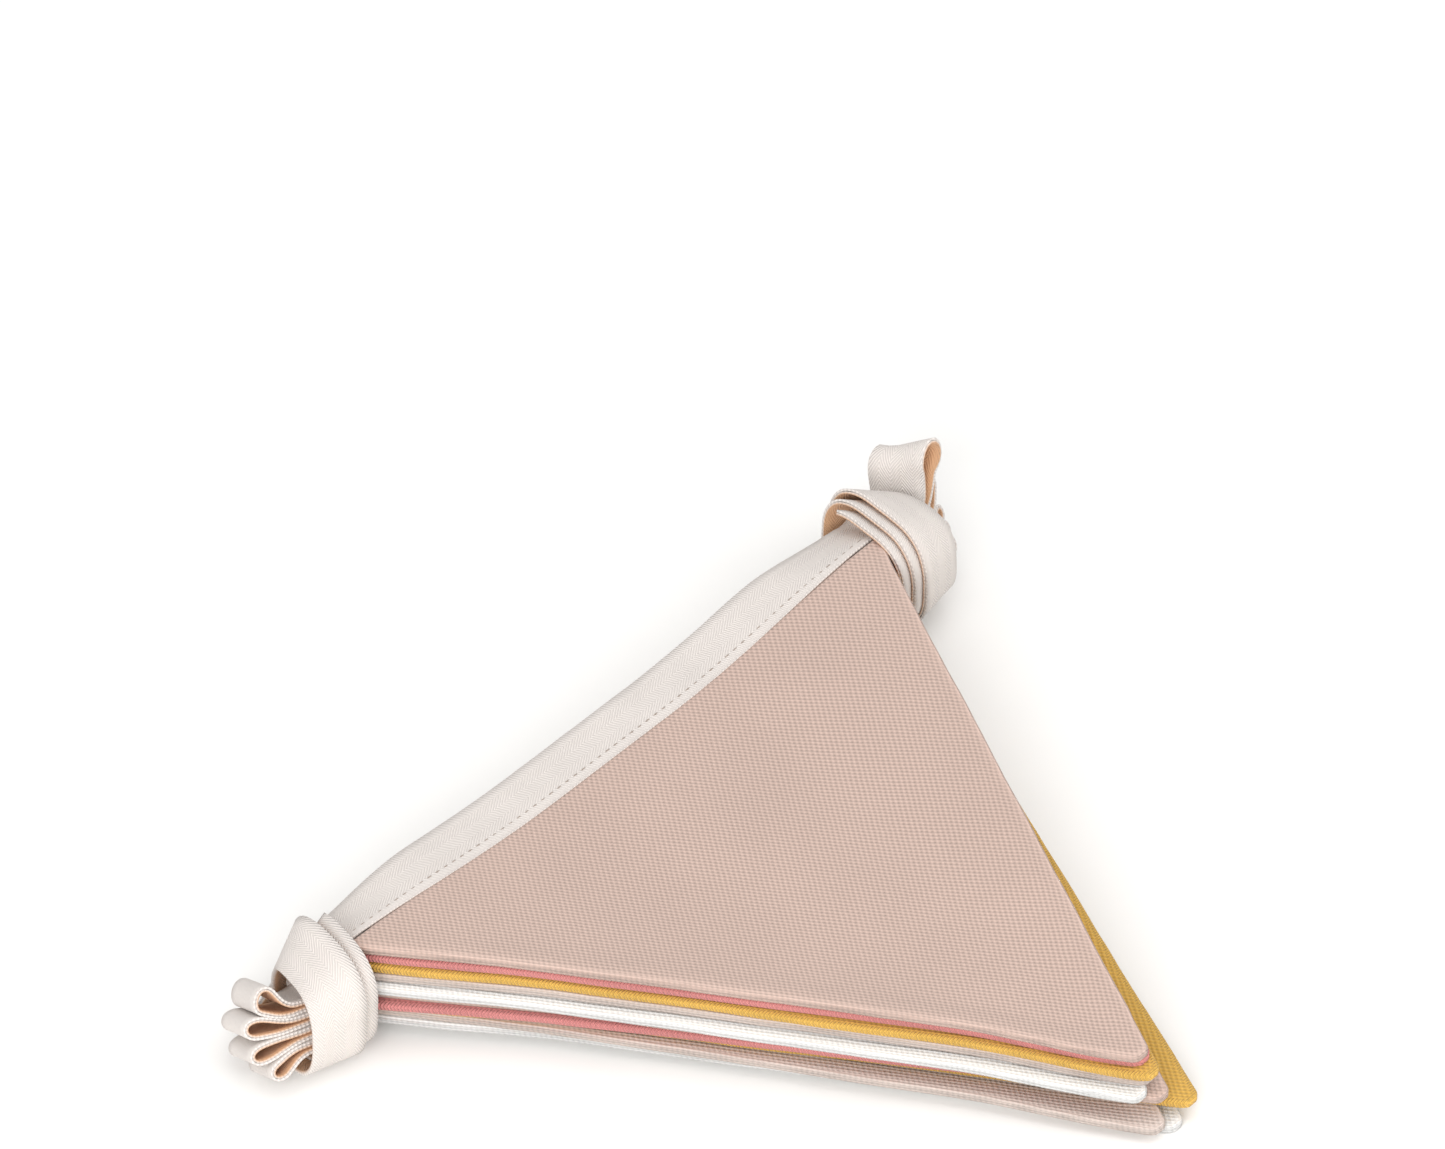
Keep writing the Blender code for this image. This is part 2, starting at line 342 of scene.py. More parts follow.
def canvas_material(cloth, sizes, colours):
    """Plain-woven cotton canvas, dyed in the piece: matt, with a grid of raised thread crossings.

    One set of threads is painted lighter at each crossing, a painted highlight, and the other lies lower and
    is painted darker, a painted shade.
    """
    made, tree, shader = new_material("plain_weave_canvas_" + cloth, 0.92, 0.12)
    base = linear(getattr(colours, cloth))
    place = add_node(tree, "ShaderNodeUVMap", uv_map="weave")
    turned = add_node(
        tree, "ShaderNodeMapping", {"Vector": place.outputs["UV"]},
        {"Rotation": (0.0, 0.0, sizes.weave_turn),
         "Scale": (math.pi / sizes.thread_along, math.pi / sizes.thread_across, 1.0)})
    wander = add_node(
        tree, "ShaderNodeTexNoise", {"Vector": place.outputs["UV"]},
        {"Scale": 260.0, "Detail": 2.0, "Roughness": 0.5})
    wandered = add_node(
        tree, "ShaderNodeVectorMath", {0: wander.outputs["Color"]}, {1: (1.1, 1.1, 0.0)},
        operation="MULTIPLY")
    moved = add_node(
        tree, "ShaderNodeVectorMath", {0: turned.outputs["Vector"], 1: wandered.outputs["Vector"]},
        operation="ADD")
    parts = add_node(tree, "ShaderNodeSeparateXYZ", {"Vector": moved.outputs["Vector"]})
    warp = add_node(tree, "ShaderNodeMath", {0: parts.outputs["X"]}, operation="SINE")
    weft = add_node(tree, "ShaderNodeMath", {0: parts.outputs["Y"]}, operation="SINE")
    checks = add_node(tree, "ShaderNodeMath", {0: warp.outputs[0], 1: weft.outputs[0]}, operation="MULTIPLY")
    rise = add_node(
        tree, "ShaderNodeMapRange", {"Value": checks.outputs[0]}, {"From Min": -1.0, "From Max": 1.0})
    slubs = add_node(
        tree, "ShaderNodeTexNoise", {"Vector": place.outputs["UV"]},
        {"Scale": 900.0, "Detail": 3.0, "Roughness": 0.6})
    blotches = add_node(
        tree, "ShaderNodeTexNoise", {"Vector": place.outputs["UV"]},
        {"Scale": 30.0, "Detail": 3.0, "Roughness": 0.55})
    rounded = add_node(
        tree, "ShaderNodeMath", {0: rise.outputs["Result"]}, {1: 0.6}, operation="POWER")
    # Painted shade and highlight: the sunk crossings get a darker copy of the cloth and the raised ones a
    # lighter copy, besides the bump.
    woven = add_node(
        tree, "ShaderNodeMix", {"Factor": rounded.outputs[0]}, data_type="RGBA")
    woven.inputs["A"].default_value = shaded(base, WEAVE_SHADE[cloth])
    woven.inputs["B"].default_value = shaded(base, WEAVE_LIGHT)
    tint = add_node(
        tree, "ShaderNodeMapRange", {"Value": blotches.outputs["Fac"]},
        {"From Min": 0.3, "From Max": 0.7, "To Min": 0.97, "To Max": 1.02})
    tinted = add_node(
        tree, "ShaderNodeVectorMath", {0: woven.outputs["Result"], "Scale": tint.outputs["Result"]},
        operation="SCALE")
    edge = add_node(tree, "ShaderNodeUVMap", uv_map="rim")
    rim = add_node(tree, "ShaderNodeSeparateXYZ", {"Vector": edge.outputs["UV"]})
    own = add_node(tree, "ShaderNodeSeparateXYZ", {"Vector": place.outputs["UV"]})
    ribbed = own.outputs["Y"] if cloth in CROSS_RIBBED else rim.outputs["Y"]
    pitch = CROSS_RIB_PITCH if cloth in CROSS_RIBBED else RIB_PITCH
    ribs = add_node(tree, "ShaderNodeMath", {0: ribbed}, {1: 2.0 * math.pi / pitch}, operation="MULTIPLY")
    ribbing = add_node(tree, "ShaderNodeMath", {0: ribs.outputs[0]}, operation="SINE")
    rib_share = add_node(
        tree, "ShaderNodeMath", {0: ribbing.outputs[0], 1: rim.outputs["X"]}, operation="MULTIPLY")
    # Painted highlight and shade: the ribs on the rim are painted lighter and darker in turn, besides their
    # bump.
    rib_shading = add_node(
        tree, "ShaderNodeMath", {0: rib_share.outputs[0]}, {1: 0.13, 2: 1.0}, operation="MULTIPLY_ADD")
    rib_shaded_colour = add_node(
        tree, "ShaderNodeVectorMath", {0: tinted.outputs["Vector"], "Scale": rib_shading.outputs[0]},
        operation="SCALE")
    # Painted highlight: the rim of each seamed edge is mixed towards a lighter copy of the cloth, as if the
    # rounded fold caught the light.
    rim_highlight = add_node(tree, "ShaderNodeMath", {0: rim.outputs["X"]}, {1: 0.30}, operation="MULTIPLY")
    finished = add_node(
        tree, "ShaderNodeMix", {"Factor": rim_highlight.outputs[0], "A": rib_shaded_colour.outputs["Vector"]},
        data_type="RGBA")
    finished.inputs["B"].default_value = shaded(base, 1.35)
    tree.links.new(finished.outputs["Result"], shader.inputs["Base Color"])
    flat_share = add_node(
        tree, "ShaderNodeMath", {1: rim.outputs["X"]}, {0: 1.0}, operation="SUBTRACT")
    weave_height = add_node(
        tree, "ShaderNodeMath", {0: rise.outputs["Result"], 1: flat_share.outputs[0]}, operation="MULTIPLY")
    with_ribs = add_node(
        tree, "ShaderNodeMath", {0: rib_share.outputs[0], 2: weave_height.outputs[0]}, {1: 0.6},
        operation="MULTIPLY_ADD")
    with_slubs = add_node(
        tree, "ShaderNodeMath", {0: slubs.outputs["Fac"], 2: with_ribs.outputs[0]}, {1: 0.5},
        operation="MULTIPLY_ADD")
    bump = add_node(
        tree, "ShaderNodeBump", {"Height": with_slubs.outputs[0]}, {"Strength": 0.9, "Distance": 0.0003})
    tree.links.new(bump.outputs["Normal"], shader.inputs["Normal"])
    return made


def tape_material(sizes, colours):
    """Unbleached cotton herringbone tape, loom-woven: soft matt cream with fine diagonal ribs."""
    made, tree, shader = new_material("herringbone_cotton_tape", 0.88, 0.18)
    base = linear(colours.tape)
    place = add_node(tree, "ShaderNodeUVMap", uv_map="weave")
    parts = add_node(tree, "ShaderNodeSeparateXYZ", {"Vector": place.outputs["UV"]})
    column = add_node(
        tree, "ShaderNodeMath", {0: parts.outputs["Y"]}, {1: 0.0030}, operation="PINGPONG")
    slanted = add_node(
        tree, "ShaderNodeMath", {0: column.outputs[0], 2: parts.outputs["X"]}, {1: 1.5},
        operation="MULTIPLY_ADD")
    phase = add_node(
        tree, "ShaderNodeMath", {0: slanted.outputs[0]}, {1: 2.0 * math.pi / sizes.twill_pitch},
        operation="MULTIPLY")
    wander = add_node(
        tree, "ShaderNodeTexNoise", {"Vector": place.outputs["UV"]}, {"Scale": 420.0, "Detail": 2.0})
    shifted = add_node(
        tree, "ShaderNodeMath", {0: wander.outputs["Fac"], 2: phase.outputs[0]}, {1: 2.4},
        operation="MULTIPLY_ADD")
    ribs = add_node(tree, "ShaderNodeMath", {0: shifted.outputs[0]}, operation="SINE")
    rise = add_node(
        tree, "ShaderNodeMapRange", {"Value": ribs.outputs[0]}, {"From Min": -1.0, "From Max": 1.0})
    fibres = add_node(
        tree, "ShaderNodeTexNoise", {"Vector": place.outputs["UV"]}, {"Scale": 1500.0, "Detail": 3.0})
    blotches = add_node(
        tree, "ShaderNodeTexNoise", {"Vector": place.outputs["UV"]}, {"Scale": 45.0, "Detail": 3.0})
    # Painted shade and highlight: the twill ribs are painted darker in their furrows and lighter on their
    # crests, besides the bump.
    woven = add_node(tree, "ShaderNodeMix", {"Factor": rise.outputs["Result"]}, data_type="RGBA")
    woven.inputs["A"].default_value = shaded(base, 0.86)
    woven.inputs["B"].default_value = shaded(base, 1.06)
    tint = add_node(
        tree, "ShaderNodeMapRange", {"Value": blotches.outputs["Fac"]},
        {"From Min": 0.3, "From Max": 0.7, "To Min": 0.95, "To Max": 1.03})
    # Painted shade: the faces turned into the loops and windings are mixed towards a warm orange-brown,
    # standing in for the shade and bounced light inside them.
    faces_in = add_node(tree, "ShaderNodeUVMap", uv_map="rim")
    inner = add_node(tree, "ShaderNodeSeparateXYZ", {"Vector": faces_in.outputs["UV"]})
    inside_shaded = add_node(
        tree, "ShaderNodeMix", {"Factor": inner.outputs["X"], "A": woven.outputs["Result"]}, data_type="RGBA")
    inside_shaded.inputs["B"].default_value = linear(colours.tape_inside)
    finished = add_node(
        tree, "ShaderNodeVectorMath", {0: inside_shaded.outputs["Result"], "Scale": tint.outputs["Result"]},
        operation="SCALE")
    tree.links.new(finished.outputs["Vector"], shader.inputs["Base Color"])
    height = add_node(
        tree, "ShaderNodeMath", {0: fibres.outputs["Fac"], 2: rise.outputs["Result"]}, {1: 0.5},
        operation="MULTIPLY_ADD")
    bump = add_node(
        tree, "ShaderNodeBump", {"Height": height.outputs[0]}, {"Strength": 0.8, "Distance": 0.0002})
    tree.links.new(bump.outputs["Normal"], shader.inputs["Normal"])
    return made


def thread_material(colours):
    """Spun polyester sewing thread, twisted: a slight gloss along fine slanting strands."""
    made, tree, shader = new_material("twisted_sewing_thread", 0.55, 0.1)
    place = add_node(tree, "ShaderNodeTexCoord")
    strands = add_node(
        tree, "ShaderNodeTexWave", {"Vector": place.outputs["Object"]},
        {"Scale": 1400.0, "Distortion": 1.0}, bands_direction="DIAGONAL")
    base = linear(colours.thread)
    # Painted shade and highlight: the slanting strands are painted darker and lighter in turn along the
    # twist.
    mixed = add_node(tree, "ShaderNodeMix", {"Factor": strands.outputs["Fac"]}, data_type="RGBA")
    mixed.inputs["A"].default_value = shaded(base, 0.8)
    mixed.inputs["B"].default_value = shaded(base, 1.1)
    tree.links.new(mixed.outputs["Result"], shader.inputs["Base Color"])
    return made


def floor_material(colours):
    """Matt painted board: an even pale surface with a barely visible grain."""
    made, tree, shader = new_material("matt_painted_board", 0.95, 0.0)
    place = add_node(tree, "ShaderNodeTexCoord")
    grain = add_node(
        tree, "ShaderNodeTexNoise", {"Vector": place.outputs["Object"]}, {"Scale": 40.0, "Detail": 2.0})
    base = linear(colours.floor)
    mixed = add_node(tree, "ShaderNodeMix", {"Factor": grain.outputs["Fac"]}, data_type="RGBA")
    mixed.inputs["A"].default_value = shaded(base, 0.985)
    mixed.inputs["B"].default_value = shaded(base, 1.01)
    tree.links.new(mixed.outputs["Result"], shader.inputs["Base Color"])
    return made


# Meshes


def lofted(name, rings, uvs, rims=None):
    """A closed mesh through rings of equally many points, with UVs in metres, in world metres."""
    count = len(rings[0])
    points = [to_world(point) for ring in rings for point in ring]
    faces = []
    for row in range(len(rings) - 1):
        for k in range(count):
            after = (k + 1) % count
            faces.append((row * count + k, row * count + after,
                          (row + 1) * count + after, (row + 1) * count + k))
    last = (len(rings) - 1) * count
    faces.append(tuple(reversed(range(count))))
    faces.append(tuple(range(last, last + count)))
    mesh = bpy.data.meshes.new(name)
    mesh.from_pydata(points, [], faces)
    flat_uvs = [uv for ring in uvs for uv in ring]
    flat_rims = [rim for ring in rims for rim in ring] if rims else None
    for layer_name, values in (("weave", flat_uvs), ("rim", flat_rims)):
        if values is None:
            continue
        layer = mesh.uv_layers.new(name=layer_name)
        for loop in mesh.loops:
            layer.data[loop.index].uv = values[loop.vertex_index]
    mesh.shade_smooth()
    return mesh


def new_piece(mesh, material):
    piece = bpy.data.objects.new(mesh.name, mesh)
    mesh.materials.append(material)
    bpy.context.scene.collection.objects.link(piece)
    return piece


def signed_volume(mesh):
    mesh.calc_loop_triangles()
    total = 0.0
    for triangle in mesh.loop_triangles:
        a, b, c = (mesh.vertices[k].co for k in triangle.vertices)
        total += a.dot(b.cross(c))
    return total / 6.0


def turned_outwards(mesh):
    if signed_volume(mesh) < 0.0:
        mesh.flip_normals()
    return mesh


# Canvas flags


def edge_distances(width):
    """Distances from a flag's left edge to the points across it, closer together at both edges."""
    border = EDGE_STEPS[-1]
    if width < 2.4 * border:
        gaps = 2 * len(EDGE_STEPS) + MIDDLE_STEPS - 1
        return [width * k / gaps for k in range(gaps + 1)]
    step = (width - 2 * border) / (MIDDLE_STEPS + 1)
    middle = [border + step * (k + 1) for k in range(MIDDLE_STEPS)]
    return [*EDGE_STEPS, *middle, *(width - d for d in reversed(EDGE_STEPS))]


def half_thickness(from_edge):
    """A turned seam: a round fold, a padded border over the seam allowance, and a thinner middle."""
    full = FLAG_THICK / 2
    if from_edge < SEAM_FOLD:
        return full * math.sqrt(max(0.0, 1.0 - (1.0 - from_edge / SEAM_FOLD) ** 2))
    return full - BORDER_RISE * smooth((from_edge - BORDER_WIDTH) / BORDER_FADE)


def soft_field(x, y):
    """The gentle heave that all the layers share."""
    return sum(move * noise.noise(Vector((x * pace, y * pace, place))) for move, pace, place in SOFT_WAVES)


def edge_wave(y, level, edge):
    """How far a seamed edge wanders from its straight line."""
    return sum(move * noise.noise(Vector((y * pace, level * row, edge))) for move, pace, row in EDGE_WAVES)


def flag_mesh(flag, level):
    """One double-layer flag, from the tongue held in the tape to its rounded tip."""
    height = FLAG_HEIGHT + flag["longer"]
    centre_z = level * FLAG_PITCH + FLAG_THICK / 2
    tip_angle = math.atan(FLAG_WIDTH / 2 / height)
    tip_centre = TIP_RADIUS / math.sin(tip_angle)
    tip_start = tip_centre - TIP_RADIUS
    cap_start = tip_centre - TIP_RADIUS * math.sin(tip_angle)
    rows = [TONGUE_DEPTH, 4.0, 0.5, -GAP, -1.0, -3.0, -6.0]
    rows += [-6.0 - (height - 16.0) * (k + 1) / LENGTH_STEPS for k in range(LENGTH_STEPS)]
    rows += [-(height - cap_start - beyond) for beyond in (2.4, 1.1)]
    closer = [(1.0 - k / TIP_STEPS) ** 2 for k in range(TIP_STEPS + 1)]
    rows += [-(height - tip_start - (cap_start - tip_start) * share) for share in closer]
    rings, uvs, rims = [], [], []
    for y in rows:
        from_tip = height + y
        half = FLAG_WIDTH / 2 * min(1.0, from_tip / height)
        if from_tip < cap_start:
            half = math.sqrt(max(0.0, TIP_RADIUS**2 - (tip_centre - from_tip) ** 2))
        half = max(half, LEAST_HALF_WIDTH)
        calm = smooth((from_tip - CALM_TIP) / CALM_FADE) if y < -1.0 else 0.0
        hollow = smooth(-y / (HOLLOW_START * height)) * smooth((from_tip - CALM_TIP) / (HOLLOW_END * height))
        wobble = calm * edge_wave(y, level, 0.0)
        wobble_right = calm * edge_wave(y, level, 5.0)
        inset = TONGUE_INSET if y > 0.0 else 0.0
        left = FLAG_WIDTH / 2 - half + inset + wobble + hollow * EDGE_HOLLOW["left"]
        right = FLAG_WIDTH / 2 + half - inset + wobble_right - hollow * EDGE_HOLLOW["right"]
        plan = edge_distances(right - left)
        upper, lower = [], []
        for k, distance in enumerate(plan):
            groove = SEAM_GROOVE * ((k == 0) - (k == len(plan) - 1)) if y < 0.0 else 0.0
            x = left + distance + min(groove, (right - left) / 4)
            beside = min(distance, right - left - distance)
            from_edge = min(beside * EDGE_SLOPE, from_tip - tip_start)
            thick = half_thickness(from_edge)
            if y > -GAP:
                thick = min(thick, TONGUE_HALF_THICK)
            rim = smooth((RIM_WIDTH - from_edge) / RIM_FADE) if y < 0.0 else 0.0
            upper.append((x, y, thick, rim))
            lower.append((x, y, -thick, rim))
        ring = upper + list(reversed(lower))[1:-1]
        points, ring_uv, ring_rim = [], [], []
        for x, own_y, z, rim in ring:
            slip = flag["tip_skew"] * max(0.0, -own_y / height)
            world_x, world_y = placed(flag, x + slip, own_y)
            near_tip = smooth((-own_y / height - TIP_DROOP_START) / (1.0 - TIP_DROOP_START))
            droop = TIP_DROOP * level / TOP_LEVEL * near_tip
            own_place = Vector((x * OWN_HEAVE_PACE, own_y * OWN_HEAVE_PACE, level * 3.3))
            heave = soft_field(world_x, world_y) + OWN_HEAVE * noise.noise(own_place) if level else 0.0
            raised = lift(world_x, world_y) + heave - droop - sag(level, x, own_y)
            points.append((world_x, world_y, centre_z + z + raised))
            ring_uv.append((x * MM, own_y * MM + (0.0 if z >= 0.0 else 0.0004)))
            ring_rim.append((rim, (z + FLAG_THICK) * MM))
        rings.append(points)
        uvs.append(ring_uv)
        rims.append(ring_rim)
    return lofted("canvas_" + flag["node"], rings, uvs, rims)


# Folded tape


def bundle_frame(side, s):
    """Centre, direction across the tape, upward direction and layer pitch, s mm out from the corner."""
    bundle = BUNDLES[side]
    share = smooth(s / ROOT_REACH)
    corner = Vector((*bundle["corner"], (TOP_LEVEL * FLAG_PITCH + FLAG_THICK) / 2 + bundle["lift"]))
    root_out = Vector(bundle["root_out"]).normalized()
    out = Vector(bundle["out"])
    centre = (corner + out * s).lerp(Vector(bundle["root"]) + root_out * (s - ROOT_REACH), share)
    across = Vector((0.0, 1.0, 0.0)).lerp(Vector(bundle["root_across"]), share)
    heading = out.lerp(root_out, share).normalized()
    across = (across - heading * across.dot(heading)).normalized()
    up = heading.cross(across)
    if up.z < 0.0:
        up = -up
    pitch = FLAG_PITCH + (ROOT_PITCH - FLAG_PITCH) * smooth((s - 2.5) / 9.0)
    return centre, heading, across, up, pitch


def strip_point(side, level, flag, s):
    """Middle of the tape of one flag, s mm out from the flag's corner, and its direction across."""
    centre, heading, across, up, pitch = bundle_frame(side, max(0.0, s))
    in_bundle = centre + up * ((level - TOP_LEVEL / 2) * pitch)
    corner_x = 0.0 if side == "left" else FLAG_WIDTH
    outward = -1.0 if side == "left" else 1.0
    own_x = corner_x + outward * s
    x, y = placed(flag, own_x, TAPE_WIDTH / 2)
    heave = soft_field(x, y) if level else 0.0
    fall = sag(level, own_x, TAPE_WIDTH)
    in_stack = Vector((x, y, level * FLAG_PITCH + FLAG_THICK / 2 + lift(x, y) + heave - fall / 2))
    turn = math.radians(flag["turn_deg"])
    stack_across = Vector((-math.sin(turn), math.cos(turn), -fall / TAPE_WIDTH)).normalized()
    share = smooth((s - 2.0) / 8.0)
    return in_stack.lerp(in_bundle, share), stack_across.lerp(across, share).normalized()


def tape_station(side, level, flag, s):
    """Centre, direction across, thickness, half slot and facing of the tape, s mm out from the corner."""
    centre, across = strip_point(side, level, flag, s)
    thick = TAPE_THICK + (FLAG_THICK - TAPE_THICK) * smooth((1.5 - s) / 3.0)
    slot = SLOT_IN_LOOP + SLOT_ON_FLAG * smooth((-3.0 - s) / 6.0)
    inner = INNER_FACE[side] * smooth((s - 12.0) / 8.0)
    return centre, across, thick, slot, inner


def run_stations(level, flag, rightwards):
    """The tape of one flag from the root of one bundle to the root of the other."""
    outside = [ROOT_REACH - ROOT_STEP * k for k in range(ROOT_STEPS)]
    inside = [-STACK_STEP * k for k in range(STACK_STEPS)]
    left = [tape_station("left", level, flag, s) for s in outside + inside]
    right = [tape_station("right", level, flag, s) for s in outside + inside]
    path = left + [tape_station("left", level, flag, -FLAG_WIDTH / 2)] + list(reversed(right))
    return path if rightwards else list(reversed(path))


def loop_stations(side, upper_level, fan_deg, reach, width, drift):
    """Stations round one loop, from the upper layer to the lower one, in a tear shape."""
    centre, heading, across, up, pitch = bundle_frame(side, ROOT_REACH)
    middle = centre + up * ((upper_level - (TOP_LEVEL + 1) / 2) * pitch)
    stations = []
    for k in range(1, LOOP_STEPS):
        angle = math.pi * k / LOOP_STEPS
        along = reach * math.sin(angle)
        tear = math.sin(2 * angle) * math.sin(angle) / TEAR_PEAK
        beside = pitch / 2 * math.cos(angle) + width / 2 * tear
        bend = math.radians(fan_deg) * smooth(along / (0.8 * reach))
        point = (middle + heading * (along * math.cos(bend) - beside * math.sin(bend))
                 + up * (along * math.sin(bend) + beside * math.cos(bend))
                 + across * (drift * math.sin(angle) ** 2))
        stations.append((point, across, TAPE_THICK, SLOT_IN_LOOP, INNER_FACE[side]))
    return stations


def tape_stations():
    """The whole tape in its zigzag, from the top flag down, with a loop between every two flags."""
    flags = flag_rows()
    loops = {side: iter(rows) for side, rows in LOOPS.items()}
    stations = []
    for level in range(TOP_LEVEL, -1, -1):
        rightwards = (TOP_LEVEL - level) % 2 == 0
        run = run_stations(level, flags[level], rightwards)
        if level == TOP_LEVEL:
            run = run[FREE_END_STEPS:]
        if level == 0:
            return stations + run[:-FREE_END_STEPS]
        side = "right" if rightwards else "left"
        stations += run + loop_stations(side, level, *next(loops[side]))


def section(thick, slot):
    """A folded tape's outline: (across, up, distance from the selvedge) round both its layers."""
    half = TAPE_WIDTH / 2
    steps = 6
    outer = [-half + (TAPE_WIDTH - 0.3) * k / steps for k in range(steps + 1)]
    inner = [-half + (TAPE_WIDTH - 0.5) * k / steps for k in range(steps + 1)]
    fold = 0.18 * thick
    ring = [(v, -thick / 2, v + half) for v in outer]
    ring += [(half, -fold, TAPE_WIDTH), (half, fold, TAPE_WIDTH)]
    ring += [(v, thick / 2, v + half) for v in reversed(outer)]
    ring += [(v, slot, v + half) for v in inner]
    ring += [(v, -slot, v + half) for v in reversed(inner)]
    return ring


def ribbon(name, stations):
    """A folded tape through stations of centre, direction across, whole thickness and half slot."""
    rings, uvs, rims = [], [], []
    run = 0.0
    for k, (centre, across, thick, slot, inner) in enumerate(stations):
        before = stations[max(0, k - 1)][0]
        after = stations[min(len(stations) - 1, k + 1)][0]
        heading = (after - before).normalized()
        across = (across - heading * across.dot(heading)).normalized()
        normal = heading.cross(across)
        if k:
            run += (centre - stations[k - 1][0]).length
        ring, ring_uv, ring_rim = [], [], []
        for v, n, from_edge in section(thick, slot):
            ruffle = TAPE_RUFFLE * noise.noise((centre + across * v) * TAPE_RUFFLE_PACE)
            ring.append(centre + across * v + normal * (n + ruffle))
            ring_uv.append((run * MM, from_edge * MM))
            # The side facing into a loop or winding is marked in the rim map for the painted inside shade.
            ring_rim.append((max(0.0, inner * n / (thick / 2)), 0.0))
        rings.append(ring)
        uvs.append(ring_uv)
        rims.append(ring_rim)
    return turned_outwards(lofted(name, rings, uvs, rims)), run * MM


# Windings


def oval_point(oval, angle, grown):
    """A point of a squared oval across the bundle, grown outwards by so many mm."""
    power = 2.0 / WINDING_SQUARENESS
    cosine, sine = math.cos(angle), math.sin(angle)
    return (
        oval["y"] + (oval["half_y"] + grown) * math.copysign(abs(cosine) ** power, cosine),
        oval["z"] + (oval["half_z"] + grown) * math.copysign(abs(sine) ** power, sine),
    )


def winding_stations(name):
    """A tape wound from one oval to the other, each turn outside the one before it."""
    winding = WINDINGS[name]
    steps = round(winding["turns"] * WINDING_STEPS_PER_TURN)
    stations = []
    for k in range(steps + 1):
        turned = k / WINDING_STEPS_PER_TURN
        angle = math.radians(winding["start_deg"]) + 2.0 * math.pi * turned
        grown = turned * WINDING_GROWTH
        ends = []
        for side in ("flag_side", "loop_side"):
            y, z = oval_point(winding[side], angle, grown)
            x = winding[side]["x"] + winding[side]["slant"] * y + winding["step_x"] * turned
            ends.append(Vector((x, y, z)))
        across = ends[1] - ends[0]
        inner = INNER_FACE["left" if name == "winding_left" else "right"]
        middle = (ends[0] + ends[1]) / 2
        stations.append((middle, across.normalized(), TAPE_THICK, SLOT_IN_WINDING, inner))
    return stations


# Stitches by Geometry Nodes


def stitch_tree(sizes, material):
    """A node tree that sets small capsule stitches along a curve, each a little uneven."""
    tree = bpy.data.node_groups.new("tape_stitches", "GeometryNodeTree")
    tree.interface.new_socket("Geometry", in_out="OUTPUT", socket_type="NodeSocketGeometry")
    tree.interface.new_socket("Geometry", in_out="INPUT", socket_type="NodeSocketGeometry")
    named = {}
    lengths = {"Pitch": sizes.stitch_pitch, "Length": sizes.stitch_length, "Thread": THREAD_THICK * MM}
    for label, value in lengths.items():
        socket = tree.interface.new_socket(label, in_out="INPUT", socket_type="NodeSocketFloat")
        socket.default_value = value
        named[label] = socket.identifier
    socket = tree.interface.new_socket("Seed", in_out="INPUT", socket_type="NodeSocketInt")
    socket.default_value = sizes.seed
    named["Seed"] = socket.identifier
    given = add_node(tree, "NodeGroupInput")
    spaced = add_node(
        tree, "GeometryNodeCurveToPoints",
        {"Curve": given.outputs["Geometry"], "Length": given.outputs["Pitch"]}, mode="LENGTH")
    bead = add_node(tree, "GeometryNodeMeshIcoSphere", values={"Radius": 0.5, "Subdivisions": 2})
    size = add_node(
        tree, "ShaderNodeCombineXYZ",
        {"X": given.outputs["Thread"], "Y": given.outputs["Thread"], "Z": given.outputs["Length"]})
    uneven = add_node(
        tree, "FunctionNodeRandomValue", {"Seed": given.outputs["Seed"]}, data_type="FLOAT")
    uneven.inputs[2].default_value = 0.85
    uneven.inputs[3].default_value = 1.1
    scaled = add_node(
        tree, "ShaderNodeVectorMath", {0: size.outputs["Vector"], "Scale": uneven.outputs[1]},
        operation="SCALE")
    put = add_node(
        tree, "GeometryNodeInstanceOnPoints",
        {"Points": spaced.outputs["Points"], "Instance": bead.outputs["Mesh"],
         "Rotation": spaced.outputs["Rotation"], "Scale": scaled.outputs["Vector"]})
    real = add_node(tree, "GeometryNodeRealizeInstances", {"Geometry": put.outputs["Instances"]})
    dressed = add_node(
        tree, "GeometryNodeSetMaterial", {"Geometry": real.outputs["Geometry"]}, {"Material": material})
    add_node(tree, "NodeGroupOutput", {"Geometry": dressed.outputs["Geometry"]})
    return tree, named


def stitch_paths():
    """Seam lines on both faces of the tape of every flag, a little in from its open edge."""
    run = FLAG_WIDTH - 2 * STITCH_FROM_CORNER
    for level, flag in enumerate(flag_rows()):
        for face in (1.0, -1.0):
            line = []
            for step in range(STITCH_LINE_STEPS + 1):
                x = STITCH_FROM_CORNER + run * step / STITCH_LINE_STEPS
                side, s = ("left", -x) if x < FLAG_WIDTH / 2 else ("right", x - FLAG_WIDTH)
                centre, across = strip_point(side, level, flag, s)
                line.append(to_world(
                    centre + across * (STITCH_FROM_EDGE - TAPE_WIDTH / 2)
                    + Vector((0.0, 0.0, face * (FLAG_THICK / 2 + THREAD_PROUD)))))
            yield line


# Operators


def settings():
    scene = bpy.context.scene
    return scene.bunting_sizes, scene.bunting_colours


class MakeFlags(bpy.types.Operator):
    """Makes the ten double-layer canvas flags"""

    bl_idname = "bunting.make_flags"
    bl_label = "Make Flags"

    def execute(self, context):
        sizes, colours = settings()
        cloths = {}
        rows = flag_rows()
        for level, flag in enumerate(rows):
            cloth = flag["cloth"]
            if cloth not in cloths:
                cloths[cloth] = canvas_material(cloth, sizes, colours)
            mesh = turned_outwards(flag_mesh(flag, level))
            piece = new_piece(mesh, cloths[cloth])
            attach(piece, BODY)
            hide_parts(flag["node"])
        return {"FINISHED"}


